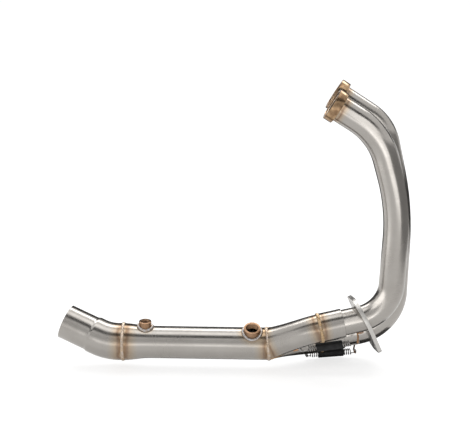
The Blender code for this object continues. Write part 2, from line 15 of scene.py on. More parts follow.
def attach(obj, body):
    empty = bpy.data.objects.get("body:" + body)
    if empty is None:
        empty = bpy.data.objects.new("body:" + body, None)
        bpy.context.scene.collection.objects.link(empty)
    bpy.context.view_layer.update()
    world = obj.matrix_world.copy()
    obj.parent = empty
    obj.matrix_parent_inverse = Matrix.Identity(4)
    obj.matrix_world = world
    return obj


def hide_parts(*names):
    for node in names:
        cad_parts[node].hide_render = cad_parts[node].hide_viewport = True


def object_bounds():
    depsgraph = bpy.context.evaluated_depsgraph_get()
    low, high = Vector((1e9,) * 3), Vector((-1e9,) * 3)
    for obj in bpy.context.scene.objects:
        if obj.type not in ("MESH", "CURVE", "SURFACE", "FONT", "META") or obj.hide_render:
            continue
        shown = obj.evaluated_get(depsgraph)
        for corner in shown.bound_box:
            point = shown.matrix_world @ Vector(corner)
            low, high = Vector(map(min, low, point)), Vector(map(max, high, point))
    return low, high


bl_info = {
    "name": "Exhaust link pipe",
    "version": (1, 0, 0),
    "blender": (4, 5, 0),
    "location": "View3D > Sidebar > Link Pipe",
    "description": "Bends, welds and finishes a twin-header exhaust link pipe over its packed frame",
    "category": "Add Mesh",
}

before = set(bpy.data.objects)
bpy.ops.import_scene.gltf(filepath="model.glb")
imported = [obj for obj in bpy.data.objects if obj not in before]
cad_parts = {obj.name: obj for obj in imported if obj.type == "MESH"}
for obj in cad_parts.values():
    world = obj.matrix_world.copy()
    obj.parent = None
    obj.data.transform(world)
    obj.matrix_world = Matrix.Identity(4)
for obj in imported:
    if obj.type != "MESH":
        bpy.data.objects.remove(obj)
FRAME_BOX = [list(corner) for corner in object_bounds()]

FRONT = Vector((1.0, 0.0, 0.0))
ACROSS = Vector((0.0, 1.0, 0.0))
UP = Vector((0.0, 0.0, 1.0))
NEAR, FAR = -1, 1
SIDE_NAMES = {NEAR: "near", FAR: "far"}

# Where the route goes, side by side for the near and the far header
TOE = {NEAR: 0.0, FAR: -2.2}
HEADER_STEPS = {
    NEAR: (("straight", 0.0385, 0), ("bend", 0.0995, 42.3), ("straight", 0.0257, 0),
           ("bend", 0.296, 18.4), ("straight", 0.0714, 0), ("roll", 0, -13.6),
           ("bend", 0.0570, 76.8), ("straight", 0.0538, 0)),
    FAR: (("straight", 0.0547, 0), ("bend", 0.0650, 45.2), ("straight", 0.0457, 0),
          ("bend", 0.439, 14.0), ("straight", 0.0806, 0), ("roll", 0, -15.2),
          ("bend", 0.0641, 80.5), ("straight", 0.0524, 0)),
}
PORT_SPACING, PORT_PITCH, PORT_YAW = 0.058, 31.0, 6.5
COLLAR_RECESS = 0.0025
SOCKET_STOP = 0.0040
SOCKET_CLEARANCE = 0.00065
WELD_HALF_GAP = 0.0019
BRANCH_RUN = 0.0761
COLLECTOR_STEP = Vector((-BRANCH_RUN, -0.0050, -0.0156))
BRANCH_START_OD = 0.0412
BRANCH_EASE = 0.70
FLARE_LENGTH = 0.0400
OUTLET_ROLL = 34.7
OUTLET_STEPS = (("straight", 0.0055, 0), ("bend", 0.0730, 24.2), ("straight", 0.0080, 0))
SPIGOT_STEP, SPIGOT_RUN = 0.005, 0.042
FLANGE_FROM_SOCKET, FLANGE_YAW, FLANGE_LEAN = 0.0302, 4.5, -14.7
FLANGE_PIPE, FLANGE_LOBE, FLANGE_BORE = 0.029, 0.0335, 0.0225
FLANGE_STUD, FLANGE_EAR, FLANGE_STUD_BORE = 0.03975, 0.0095, 0.0044
LAMBDA_PLACE = (0.0232, 19.5)
TEST_FROM_OUTLET = 0.0330
# Outside, bore, mouth and height of the two bosses
LAMBDA_BOSS = (0.0250, 0.0169, 0.0188, 0.0080)
TEST_BOSS = (0.0186, 0.0102, 0.0120, 0.0095)
THREAD_PITCH, THREAD_DEPTH = 0.0015, 0.0007
# Half the thickness of the small beads
COLLAR_BEAD, SEAM_BEAD, FOOT_BEAD, BOSS_BEAD = 0.0011, 0.0013, 0.0016, 0.0023
HEADER_HOOK = {NEAR: (0.0158, 0.0), FAR: (0.0148, 10.0)}
COLLECTOR_HOOK = {NEAR: (0.46, 0.0032, 0.0), FAR: (0.33, 0.0066, 16.0)}
HOOK_FOOT, HOOK_TURN, HEADER_HOOK_FROM_SOCKET = 0.0080, 9.0, 0.0185
COIL_HALF, SPRING_EYE, COIL_STEPS = 0.0310, 0.0030, 20
SLEEVE_HALF, SLEEVE_WALL = 0.0195, 0.0011
TUBE_SIDES, FINE_SIDES, BEAD_SIDES = 72, 96, 12
BEND_STEP, STRAIGHT_STEP = 2.5, 0.006
BRANCH_STATIONS, SEAM_STATIONS = 30, 24

# The camera of the picture, a little above the pipe, with its shift in pixels
CAMERA_PLACE = Vector((-0.1141, -1.6912, 0.4324))
CAMERA_TARGET = Vector((-0.1383, 0.0, -0.1834))
CAMERA_RIGHT = Vector((0.9998, 0.0175, 0.0087))
SENSOR_WIDTH, LENS, IMAGE_WIDTH, IMAGE_SHIFT = 36.0, 93.75, 470, (0.5, -1.5)

# How bright the floor and the world are, and the white of floor, cards and backdrop
FLOOR_GLOW, FLOOR_MIRRORED, WORLD_GLOW = 0.72, 0.74, 0.45
WHITE = (1.0, 1.0, 1.0, 1.0)


def length(label, told, value):
    return FloatProperty(name=label, description=told, default=value, unit="LENGTH")


def colour(label, told, value):
    return FloatVectorProperty(name=label, description=told, subtype="COLOR", size=4, min=0.0,
                               max=1.0, default=value)


class LinkPipeSizes(bpy.types.PropertyGroup):
    """Sizes that the tubes, fittings, beads and springs are drawn with"""

    header_od: length("Header tube", "Outside diameter of both header pipes", 0.0381)
    mid_od: length("Mid pipe", "Outside diameter of the mid pipe", 0.0483)
    mid_length: length("Mid pipe length", "From the merge to the outlet bend", 0.2155)
    outlet_od: length("Outlet", "Outside diameter of the outlet bend", 0.0552)
    spigot_od: length("Spigot", "Outside diameter of the outlet's reduced end", 0.0522)
    wall: length("Wall", "Wall thickness of every tube", 0.0015)
    collar_od: length("Port collar", "Outside diameter of a port collar", 0.0475)
    collar_length: length("Collar length", "Length of a port collar", 0.0130)
    socket_length: length("Socket length", "Length of a slip socket", 0.0330)
    bead_height: length("Bead height", "How far a weld bead stands over its tube", 0.0010)
    bead_width: length("Bead width", "Thickness of the rod of weld metal", 0.0056)
    ripple_pitch: length("Ripple pitch", "Distance between a bead's ripples", 0.0021)
    spring_od: length("Spring", "Outside diameter of a spring's coil", 0.0100)
    spring_wire: length("Spring wire", "Diameter of the spring wire", 0.0016)
    spring_turns: IntProperty(name="Spring turns", description="Turns of each coil", default=20,
                              min=4, max=40)
    sleeve_od: length("Sleeve", "Outside diameter of a spring sleeve", 0.0128)
    hook_wire: length("Hook rod", "Diameter of the hooks' bent rod", 0.0026)
    flange_thickness: length("Flange plate", "Thickness of the loose flange", 0.0058)


class LinkPipeColours(bpy.types.PropertyGroup):
    """Colours of the metal, its heat tints and the sleeves"""

    steel: colour("Steel", "Satin stainless tube", (0.42, 0.398, 0.372, 1.0))
    steel_dark: colour("Steel, shaded grain", "Darker cloud in the satin finish",
                       (0.33, 0.308, 0.282, 1.0))
    plate: colour("Plate", "Loose flange plate", (0.56, 0.545, 0.52, 1.0))
    straw: colour("Straw tint", "Outer edge of a heat tint", (0.45, 0.34, 0.21, 1.0))
    gold: colour("Gold tint", "Middle of a heat tint", (0.40, 0.25, 0.11, 1.0))
    brown: colour("Brown tint", "Heat tint right beside a bead", (0.22, 0.12, 0.05, 1.0))
    bead: colour("Bead", "Weld bead", (0.58, 0.49, 0.41, 1.0))
    boss: colour("Boss", "Turned bosses", (0.24, 0.14, 0.08, 1.0))
    wire: colour("Wire", "Spring wire", (0.40, 0.39, 0.38, 1.0))
    hook: colour("Hook", "Hooks on the header pipes", (0.50, 0.29, 0.18, 1.0))
    sleeve: colour("Sleeve", "Spring sleeves", (0.006, 0.006, 0.007, 1.0))
    floor: colour("Floor", "Studio floor", (0.60, 0.60, 0.60, 1.0))


def sizes():
    return bpy.context.scene.link_pipe_sizes


def colours():
    return bpy.context.scene.link_pipe_colours


# Placing

def placement(origin, z_axis, x_hint):
    """A placement whose Z runs along z_axis and whose X is the part of x_hint square to it"""
    z = z_axis.normalized()
    x = (x_hint - z * x_hint.dot(z)).normalized()
    turned = Matrix((x, z.cross(x), z)).transposed()
    return Matrix.Translation(origin) @ turned.to_4x4()


def turn_about(vector, axis, degrees):
    return Matrix.Rotation(radians(degrees), 3, axis) @ vector


def smooth_step(share):
    return share * share * (3.0 - 2.0 * share)


def bent_path(start, heading, axis, steps):
    """The points along a tube as a bender makes it, and its last heading"""
    points = [start.copy()]
    for kind, size, angle in steps:
        if kind == "straight":
            count = max(1, round(size / STRAIGHT_STEP))
            begin = points[-1]
            points += [begin + heading * size * step / count for step in range(1, count + 1)]
        elif kind == "roll":
            axis = turn_about(axis, heading, angle)
        else:
            centre = points[-1] + axis.cross(heading) * size
            arm = points[-1] - centre
            count = ceil(abs(angle) / BEND_STEP)
            points += [centre + turn_about(arm, axis, angle * step / count)
                       for step in range(1, count + 1)]
            heading = turn_about(heading, axis, angle)
    return points, heading


def point_before_end(points, distance):
    """The point this far before the end of a path, and the heading there"""
    for first, second in zip(points[-2::-1], points[:0:-1]):
        run = second - first
        if distance <= run.length:
            return second.lerp(first, distance / run.length), run.normalized()
        distance -= run.length
    return points[0], (points[1] - points[0]).normalized()


def crossing(points, on_plane, normal):
    """Where a path last crosses a plane"""
    for first, second in zip(points[-2::-1], points[:0:-1]):
        before, after = (first - on_plane).dot(normal), (second - on_plane).dot(normal)
        if before * after <= 0.0 and before != after:
            return first.lerp(second, before / (before - after))
    return points[-1]


def port(side):
    """The centre of a port face, the heading into the pipe and the axis its bends turn about"""
    across = turn_about(ACROSS, UP, -PORT_YAW)
    heading = turn_about(turn_about(FRONT, UP, -PORT_YAW), across, PORT_PITCH)
    tilt_axis = heading.cross(across)
    return (across * side * PORT_SPACING / 2, turn_about(heading, tilt_axis, side * TOE[side]),
            turn_about(across, tilt_axis, side * TOE[side]))


class Route:
    """Where each piece after the ports goes"""

    def __init__(self):
        self.points, self.heading, self.weld, self.branch_start = {}, {}, {}, {}
        for side in (NEAR, FAR):
            start, heading, axis = port(side)
            start += heading * COLLAR_RECESS
            points, heading = bent_path(start, heading, axis, HEADER_STEPS[side])
            self.points[side], self.heading[side] = points, heading
            self.weld[side] = points[-1] + heading * SOCKET_STOP
            self.branch_start[side] = self.weld[side] + heading * (2 * WELD_HALF_GAP)
        middle = (self.branch_start[NEAR] + self.branch_start[FAR]) / 2
        self.flow = -FRONT
        mean = (self.heading[NEAR] + self.heading[FAR]).normalized()
        self.mitre = (mean + self.flow).normalized()
        self.merge = middle + COLLECTOR_STEP
        apart = self.branch_start[FAR] - self.branch_start[NEAR]
        run = (self.merge - middle).normalized()
        self.apart = (apart - run * apart.dot(run)).normalized()
        self.mid_end = self.merge + self.flow * sizes().mid_length
        self.mid_frame = placement(self.merge, self.flow, UP)

    def branch_point(self, side, share):
        """A point of a branch's centre line, its section's facing there and its outer radius"""
        start = self.branch_start[side]
        run = self.merge - self.mitre * WELD_HALF_GAP - start
        first = self.heading[side] * run.length * BRANCH_EASE
        square, cube = share ** 2, share ** 3
        point = (start + run * (3 * square - 2 * cube) + first * (cube - 2 * square + share)
                 + run * (cube - square))
        facing = self.heading[side].lerp(self.mitre, smooth_step(share)).normalized()
        outer = BRANCH_START_OD + (sizes().mid_od - BRANCH_START_OD) * share ** 4
        return point, facing, outer / 2

    def boss_frame(self, along, lean):
        """Origin on the mid pipe's axis and Z out through the boss"""
        return placement(self.merge + self.flow * along, turn_about(UP, FRONT, lean), self.flow)

    def bosses(self):
        """Node, weld node, placement, distance from the merge and sizes of both bosses"""
        along = sizes().mid_length - TEST_FROM_OUTLET
        return (("lambda_boss", "lambda_boss_weld", self.boss_frame(*LAMBDA_PLACE), LAMBDA_PLACE[0],
                 LAMBDA_BOSS),
                ("test_port_boss", "test_port_weld", self.boss_frame(along, 0.0), along, TEST_BOSS))


def mid_radius(along):
    """The outside radius of the mid pipe at a distance from the merge"""
    share = min(1.0, max(0.0, (along - sizes().mid_length + FLARE_LENGTH) / FLARE_LENGTH))
    return sizes().mid_od / 2 + (sizes().outlet_od - sizes().mid_od) / 2 * smooth_step(share)


# Making shapes

def deselect():
    bpy.ops.object.select_all(action="DESELECT")


def work_on(obj):
    deselect()
    obj.select_set(True)
    bpy.context.view_layer.objects.active = obj


def edit_all(piece):
    """Opens a piece in edit mode with all of it selected"""
    work_on(piece)
    bpy.ops.object.mode_set(mode="EDIT")
    bpy.ops.mesh.select_all(action="SELECT")


def leave_edit():
    bpy.ops.object.mode_set(mode="OBJECT")


def new_curve(name, dimensions):
    """A curve object with no line in it yet"""
    deselect()
    bpy.ops.curve.primitive_bezier_curve_add(location=(0.0, 0.0, 0.0))
    curve = bpy.context.object
    curve.name = name
    curve.data.splines.clear()
    curve.data.dimensions = dimensions
    return curve


def add_line(curve, points, closed, swell=None):
    """A line through the points, thicker or thinner at each by its swell"""
    spline = curve.data.splines.new("POLY")
    spline.points.add(len(points) - 1)
    for index, point in enumerate(points):
        spline.points[index].co = (*point, 1.0)
        spline.points[index].radius = swell[index] if swell else 1.0
    spline.use_cyclic_u = closed


def bent_rod(name, points, radius, sides, closed=False, caps=True, swell=None):
    """A path drawn through the points and given a round section, then made a mesh"""
    rod = new_curve(name, "3D")
    rod.data.bevel_depth = radius
    rod.data.bevel_resolution = sides // 2 - 2
    rod.data.use_fill_caps = caps
    add_line(rod, points, closed, swell)
    bpy.ops.object.convert(target="MESH")
    return bpy.context.object


def open_tube(name, points, outer, wall, swell=None):
    """A bent tube with its wall"""
    tube = bent_rod(name, points, outer / 2, TUBE_SIDES, caps=False, swell=swell)
    modify(tube, "SOLIDIFY", thickness=wall, offset=-1.0)
    return tube


def modify(piece, kind, **settings):
    """Gives a piece a modifier and applies it"""
    work_on(piece)
    modifier = piece.modifiers.new("change", kind)
    for key, value in settings.items():
        setattr(modifier, key, value)
    bpy.ops.object.modifier_apply(modifier=modifier.name)


def turned(name, outline, placed, steps=TUBE_SIDES):
    """A ring spun about its own Z from a closed outline of (radius, height)"""
    deselect()
    bpy.ops.mesh.primitive_circle_add(vertices=len(outline), radius=0.01, location=(0.0, 0.0, 0.0))
    ring = bpy.context.object
    ring.name = name
    for vertex, (radius, height) in zip(ring.data.vertices, outline):
        vertex.co = (radius, 0.0, height)
    edit_all(ring)
    bpy.ops.mesh.spin(steps=steps, angle=2 * pi, center=(0.0, 0.0, 0.0), axis=(0.0, 0.0, 1.0))
    bpy.ops.mesh.select_all(action="SELECT")
    bpy.ops.mesh.remove_doubles(threshold=0.000002)
    bpy.ops.mesh.normals_make_consistent(inside=False)
    leave_edit()
    set_down(ring, placed)
    return ring


def set_down(piece, placed):
    """Moves a piece to its place and keeps the place in its mesh"""
    piece.matrix_world = placed
    work_on(piece)
    bpy.ops.object.transform_apply(location=True, rotation=True, scale=True)


def cut_away(piece, cutter):
    """Takes the cutter's shape out of a piece"""
    modify(piece, "BOOLEAN", operation="DIFFERENCE", solver="EXACT", object=cutter)
    bpy.data.objects.remove(cutter, do_unlink=True)
    edit_all(piece)
    bpy.ops.mesh.remove_doubles(threshold=0.000005)
    leave_edit()


def round_bar(name, radius, length, placed, sides=TUBE_SIDES):
    """A plain bar that only cuts"""
    deselect()
    bpy.ops.mesh.primitive_cylinder_add(vertices=sides, radius=radius, depth=length)
    bar = bpy.context.object
    bar.name = name
    set_down(bar, placed)
    return bar


def hand_over(piece, nodes, material, smooth=35.0):
    """Gives a finished piece its material, hangs it under the root and hides the solids it stands for
    """
    work_on(piece)
    bpy.ops.object.shade_smooth_by_angle(angle=radians(smooth))
    piece.data.materials.clear()
    piece.data.materials.append(material)
    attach(piece, "root")
    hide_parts(*nodes)


def eased(points, steps=6):
    """A smooth path through a few points"""
    ends = [points[0] * 2 - points[1]] + list(points) + [points[-1] * 2 - points[-2]]
    path = []
    for a, b, c, d in zip(ends, ends[1:], ends[2:], ends[3:]):
        for step in range(steps):
            t = step / steps
            path.append((b * 2 + (c - a) * t + (a * 2 - b * 5 + c * 4 - d) * t ** 2
                         + (b * 3 - a - c * 3 + d) * t ** 3) / 2)
    return path + [points[-1]]


# Finishes

class Finish:
    """A material under construction"""

    def __init__(self, name):
        self.material = bpy.data.materials.new(name)
        self.material.use_nodes = True
        self.tree = self.material.node_tree
        self.shader = self.tree.nodes["Principled BSDF"]
        self.place = self.add("ShaderNodeTexCoord").outputs["Object"]

    def add(self, kind, inputs=(), **settings):
        """A node with its settings, and a link or a value for each input that is named"""
        node = self.tree.nodes.new(kind)
        for key, value in settings.items():
            setattr(node, key, value)
        for key, value in dict(inputs).items():
            self.feed(value, node.inputs[key])
        return node

    def join(self, source, target):
        self.tree.links.new(source, target)

    def feed(self, value, socket):
        """Joins a socket to another one, or gives it a number or a colour"""
        if hasattr(value, "links"):
            self.join(value, socket)
        elif isinstance(value, (int, float)):
            socket.default_value = value
        else:
            socket.default_value = tuple(value)

    def cloud(self, scale, detail=3.0, stretch=None):
        """A noise over the piece, stretched by scale if asked"""
        where = self.place
        if stretch:
            mapping = self.add("ShaderNodeMapping", {"Scale": stretch, "Vector": where})
            where = mapping.outputs["Vector"]
        noise = self.add("ShaderNodeTexNoise", {"Scale": scale, "Detail": detail, "Vector": where})
        return noise.outputs["Fac"]

    def spread(self, source, low, high, from_low=0.35, from_high=0.65):
        """A noise mapped to a range"""
        node = self.add("ShaderNodeMapRange", {"From Min": from_low, "From Max": from_high,
                                               "To Min": low, "To Max": high, "Value": source})
        return node.outputs["Result"]

    def sum(self, kind, first, second):
        """The result of a sum, a product or the like"""
        node = self.add("ShaderNodeMath", {0: first, 1: second}, operation=kind)
        return node.outputs["Value"]

    def blend(self, share, first, second):
        """A colour between two colours or colour sockets"""
        node = self.add("ShaderNodeMix", {"Factor": share}, data_type="RGBA")
        for name, value in (("A", first), ("B", second)):
            self.feed(value, [s for s in node.inputs if s.name == name and s.type == "RGBA"][0])
        return [s for s in node.outputs if s.type == "RGBA"][0]

    def tint(self, base, centre, ring, reach, strength=1.0):
        """Heat colours that fade away from a weld: brown, gold, then straw"""
        away = self.add("ShaderNodeVectorMath", {0: self.place, 1: centre}, operation="DISTANCE")
        square = self.sum("MULTIPLY", away.outputs["Value"], away.outputs["Value"])
        past = self.sum("DIVIDE", self.sum("SUBTRACT", square, ring ** 2), reach ** 2)
        uneven = self.spread(self.cloud(45.0, 2.0), -0.04, 0.06)
        past = self.sum("ADD", past, uneven)
        ramp = self.add("ShaderNodeValToRGB")
        shades = colours()
        stops = ((0.0, shades.gold, 0.55), (0.06, shades.brown, 0.90), (0.13, shades.brown, 0.70),
                 (0.22, shades.gold, 0.50), (0.55, shades.straw, 0.26), (1.0, shades.straw, 0.0))
        while len(ramp.color_ramp.elements) < len(stops):
            ramp.color_ramp.elements.new(0.5)
        for element, (position, shade, cover) in zip(ramp.color_ramp.elements, stops):
            element.position = position
            element.color = (*tuple(shade)[:3], cover)
        self.join(past, ramp.inputs["Fac"])
        cover = self.sum("MULTIPLY", ramp.outputs["Alpha"], strength)
        return self.blend(cover, base, ramp.outputs["Color"])

    def close(self, base, roughness, metallic, height=None, bump=0.1, depth=0.0002):
        """Joins colour, roughness and bump to the shader"""
        self.feed(base, self.shader.inputs["Base Color"])
        self.feed(roughness, self.shader.inputs["Roughness"])
        self.shader.inputs["Metallic"].default_value = metallic
        if height is not None:
            node = self.add("ShaderNodeBump", {"Strength": bump, "Distance": depth,
                                               "Height": height})
            self.join(node.outputs["Normal"], self.shader.inputs["Normal"])
        return self.material


def satin_tube(name, tints=(), grain=(900.0, 50.0, 50.0)):
    """Belt-polished stainless tube with heat tints round its welds"""
    finish = Finish(name)
    shades = colours()
    cloud = finish.cloud(26.0, 4.0)
    lines = finish.cloud(1.0, 3.0, grain)
    base = finish.blend(finish.spread(cloud, 0.0, 0.45), shades.steel, shades.steel_dark)
    base = finish.blend(finish.spread(lines, 0.0, 0.12), base, shades.steel_dark)
    for centre, ring, reach, strength in tints:
        base = finish.tint(base, centre, ring, reach, strength)
    rough = finish.sum("ADD", finish.spread(cloud, 0.20, 0.26), finish.spread(lines, -0.02, 0.03))
    return finish.close(base, rough, 1.0, lines, 0.015, 0.0001)


def bead_metal(name, shade):
    """Weld metal, mottled with gold and a few blue-grey spots"""
    finish = Finish(name)
    shades = colours()
    spots = finish.cloud(240.0, 3.0)
    base = finish.blend(finish.spread(spots, 0.0, 0.55), shade, shades.gold)
    blue = finish.spread(finish.cloud(90.0, 2.0), 0.0, 0.35, 0.55, 0.75)
    base = finish.blend(blue, base, (0.34, 0.38, 0.46, 1.0))
    return finish.close(base, finish.spread(spots, 0.16, 0.34), 1.0, spots, 0.10, 0.0002)


def turned_metal(name, shade, tinted, pitch, rough=0.26):
    """Lathe-turned metal with fine tool lines and a patchy heat colour"""
    finish = Finish(name)
    patches = finish.cloud(85.0, 3.0)
    lines = finish.cloud(1.0, 2.0, pitch)
    base = finish.blend(finish.spread(patches, 0.05, 0.85), shade, tinted)
    patchy = finish.spread(patches, rough - 0.04, rough + 0.08)
    roughness = finish.sum("ADD", patchy, finish.spread(lines, -0.02, 0.05))
    return finish.close(base, roughness, 1.0, lines, 0.12, 0.0001)


def wire_metal(name, shade):
    """Drawn wire with faint wear along it"""
    finish = Finish(name)
    wear = finish.cloud(420.0, 2.0)
    base = finish.blend(finish.spread(wear, 0.0, 0.40), shade, (0.34, 0.32, 0.30, 1.0))
    return finish.close(base, finish.spread(wear, 0.20, 0.36), 1.0, wear, 0.08, 0.0001)


def sleeve_rubber(name):
    """Matte shrink sleeve with a dusty bloom"""
    finish = Finish(name)
    dust = finish.cloud(160.0, 4.0)
    bloom = finish.spread(dust, 0.0, 0.6, 0.45, 0.75)
    base = finish.blend(bloom, colours().sleeve, (0.018, 0.018, 0.017, 1.0))
    rough = finish.spread(dust, 0.60, 0.80)
    return finish.close(base, rough, 0.0, finish.cloud(700.0, 2.0), 0.20, 0.0002)


# Pieces

def make_collars():
    """Two turned rings with a step inside and a small round on each edge"""
    size = sizes()
    finish = turned_metal("collar_finish", (0.50, 0.34, 0.20, 1.0), (0.12, 0.06, 0.03, 1.0),
                          (60.0, 60.0, 60.0), 0.18)
    for side, name in SIDE_NAMES.items():
        centre, heading, axis = port(side)
        bore, outer, edge = size.header_od / 2 + 0.0002, size.collar_od / 2, 0.0008
        foot, nip = -size.collar_length, edge * 0.3
        outline = [(outer - edge, 0.0), (outer - nip, -nip), (outer, -edge), (outer, foot + edge),
                   (outer - nip, foot + nip), (outer - edge, foot), (bore, foot),
                   (bore, -edge * 0.6), (bore + edge * 0.6, 0.0)]
        ring = turned("collar_" + name, outline, placement(centre, -heading, axis), FINE_SIDES)
        hand_over(ring, ["port_collar_" + name], finish)
        lip = [centre + heading * 0.0026
               + turn_about(axis, heading, 360 * step / FINE_SIDES) * (bore - 0.0006)
               for step in range(FINE_SIDES)]
        bead = bead_loop("collar_seam_" + name, lip, COLLAR_BEAD)
        metal = bead_metal("collar_seam_finish_" + name, colours().bead)
        hand_over(bead, [], metal, 60.0)


def make_headers(route):
    """Both header pipes, tinted at the collars"""
    size = sizes()
    for side, name in SIDE_NAMES.items():
        pipe = open_tube("header_" + name, route.points[side], size.header_od, size.wall)
        centre, heading, _ = port(side)
        tints = ((centre + heading * size.collar_length, size.header_od / 2, 0.013, 0.9),)
        finish = satin_tube("header_satin_" + name, tints, (60.0, 60.0, 700.0))
        hand_over(pipe, ["header_pipe_" + name], finish)


def make_collector(route):
    """Slip sockets and the two branches that flow into one"""
    size = sizes()
    bore = size.header_od / 2 + SOCKET_CLEARANCE
    outer = bore + size.wall
    mouth, edge = -size.socket_length, 0.0004
    outline = [(outer, 0.0), (outer, mouth + edge), (outer - edge, mouth), (bore + edge / 2, mouth),
               (bore, mouth + edge), (bore, 0.0)]
    for side, name in SIDE_NAMES.items():
        weld, heading = route.weld[side], route.heading[side]
        socket = turned("socket_" + name, outline, placement(weld, heading, route.apart))
        finish = satin_tube("socket_satin_" + name, ((weld, outer, 0.016, 0.85),))
        hand_over(socket, ["collector_socket_" + name], finish)
        branch = make_branch(route, side)
        tints = ((route.branch_start[side], BRANCH_START_OD / 2, 0.016, 0.85),
                 (route.merge, size.mid_od / 2, 0.020, 0.9))
        finish = satin_tube("branch_satin_" + name, tints)
        hand_over(branch, ["collector_branch_" + name], finish)
    make_seam(route)


def make_branch(route, side):
    """One branch as a swelling tube, trimmed where it meets the other"""
    stations = [route.branch_point(side, step / BRANCH_STATIONS) for step in range(BRANCH_STATIONS + 1)]
    radius = stations[0][2]
    tube = open_tube("branch_" + SIDE_NAMES[side], [station[0] for station in stations], radius * 2,
                     sizes().wall, [station[2] / radius for station in stations])
    plane = route.merge + route.apart * side * 0.0001
    edit_all(tube)
    bpy.ops.mesh.bisect(plane_co=plane, plane_no=route.apart * side, use_fill=True, clear_inner=True)
    leave_edit()
    return tube


def seam_height(route, share, up):
    """Where the two branches' outsides meet above or below the seam"""
    point, facing, radius = route.branch_point(NEAR, share)
    middle = (point + route.branch_point(FAR, share)[0]) / 2
    offset = (point - route.merge).dot(route.apart)
    tall = sqrt(max(0.0, radius ** 2 - offset ** 2))
    rise = facing.cross(route.apart).normalized()
    rise = rise if rise.dot(UP) > 0 else -rise
    on_seam = middle - route.apart * (middle - route.merge).dot(route.apart)
    return on_seam + rise * tall * up


def make_seam(route):
    """The weld that runs down the crotch between the branches, above and below"""
    path = []
    for up, steps in ((1, range(SEAM_STATIONS, 7, -1)), (-1, range(8, SEAM_STATIONS + 1))):
        for share in (step / SEAM_STATIONS for step in steps):
            point, _, radius = route.branch_point(NEAR, share)
            if abs((point - route.merge).dot(route.apart)) < radius - 0.0004:
                path.append(seam_height(route, share, up))
    half = len(path) // 2
    for name, part in (("upper", path[:half]), ("lower", path[half:])):
        fine = eased(part, 4)
        bead = bent_rod("branch_seam_" + name, fine, SEAM_BEAD, BEAD_SIDES,
                        swell=ripples(len(fine)))
        hand_over(bead, [], bead_metal("seam_finish_" + name, colours().gold), 60.0)


def ripples(count):
    """Swells for the points along a bead, as a torch leaves them"""
    return [1.0 + 0.13 * (1.0, 0.45, -0.75, -0.3)[index % 4] for index in range(count)]


def bead_loop(name, loop, radius):
    """A rippled weld bead along a closed loop"""
    return bent_rod(name, loop, radius, BEAD_SIDES, closed=True, swell=ripples(len(loop)))


def ripple_steps(radius):
    """How many points a bead has round a circle, four to a ripple"""
    return 4 * round(2 * pi * radius / sizes().ripple_pitch)


def ring_points(centre, axis, x_hint, radius):
    placed = placement(centre, axis, x_hint)
    ring = ring_outline(0.0, 0.0, radius, ripple_steps(radius))
    return [placed @ Vector((x, y, 0.0)) for x, y in ring]


def saddle_points(placed, along, reach, lift):
    """A loop round a boss's foot on the mid pipe"""
    points = []
    for forward, sideways in ring_outline(0.0, 0.0, reach, ripple_steps(reach)):
        on_radius = mid_radius(along + forward) + lift
        points.append(placed @ Vector((forward, sideways, sqrt(on_radius ** 2 - sideways ** 2))))
    return points


def make_beads(route):
    """Weld beads at both sockets, the merge, the outlet and both bosses"""
    size = sizes()
    thick = size.bead_width / 2
    finish = bead_metal("bead_finish", colours().bead)
    golden = bead_metal("socket_bead_finish", (0.52, 0.38, 0.24, 1.0))
    loops = []
    for side, name in SIDE_NAMES.items():
        heading = route.heading[side]
        centre = route.weld[side] + heading * WELD_HALF_GAP
        radius = size.header_od / 2 + SOCKET_CLEARANCE + size.wall + size.bead_height - thick
        loops.append(("socket_weld_" + name, ring_points(centre, heading, route.apart, radius),
                      golden))
    radius = size.mid_od / 2 + size.bead_height - thick
    loops.append(("merge_weld", ring_points(route.merge, route.mitre, route.apart, radius), finish))
    radius = size.outlet_od / 2 + size.bead_height - thick
    loops.append(("outlet_weld", ring_points(route.mid_end, route.flow, UP, radius), finish))
    for node, loop, metal in loops:
        bead = bead_loop(node.replace("weld", "bead"), loop, thick)
        hand_over(bead, [node], metal, 60.0)
    bright = bead_metal("boss_bead_finish", (0.50, 0.50, 0.51, 1.0))
    for _, node, placed, along, (outer, *_) in route.bosses():
        loop = saddle_points(placed, along, outer / 2 + 0.0011, 0.0010)
        bead = bead_loop(node.replace("weld", "bead"), loop, BOSS_BEAD)
        hand_over(bead, [node], bright, 60.0)


def make_mid_pipe(route):
    """The mid pipe with its flare and the two holes under its bosses"""
    size = sizes()
    end = size.mid_length - WELD_HALF_GAP
    flare = size.mid_length - FLARE_LENGTH
    stations = [0.0, 0.004, 0.01] + [flare * step / 10 for step in range(1, 10)]
    stations += [flare + (end - flare) * step / 20 for step in range(21)]
    points = [route.merge + route.flow * along for along in stations]
    swell = [mid_radius(along) / (size.mid_od / 2) for along in stations]
    pipe = open_tube("mid_tube", points, size.mid_od, size.wall, swell)
    feet = []
    for _, _, placed, _, (_, bore, _, _) in route.bosses():
        lift = placed @ Matrix.Translation((0.0, 0.0, size.mid_od / 2))
        cut_away(pipe, round_bar("hole", bore / 2, size.mid_od, lift, 64))
        feet.append(placed @ Vector((0.0, 0.0, size.mid_od / 2)))
    tints = ((route.merge, size.mid_od / 2, 0.021, 0.9), (feet[0], 0.0130, 0.021, 0.95),
             (feet[1], 0.0100, 0.014, 0.75), (route.mid_end, size.outlet_od / 2, 0.021, 0.9))
    hand_over(pipe, ["mid_pipe"], satin_tube("mid_satin", tints))


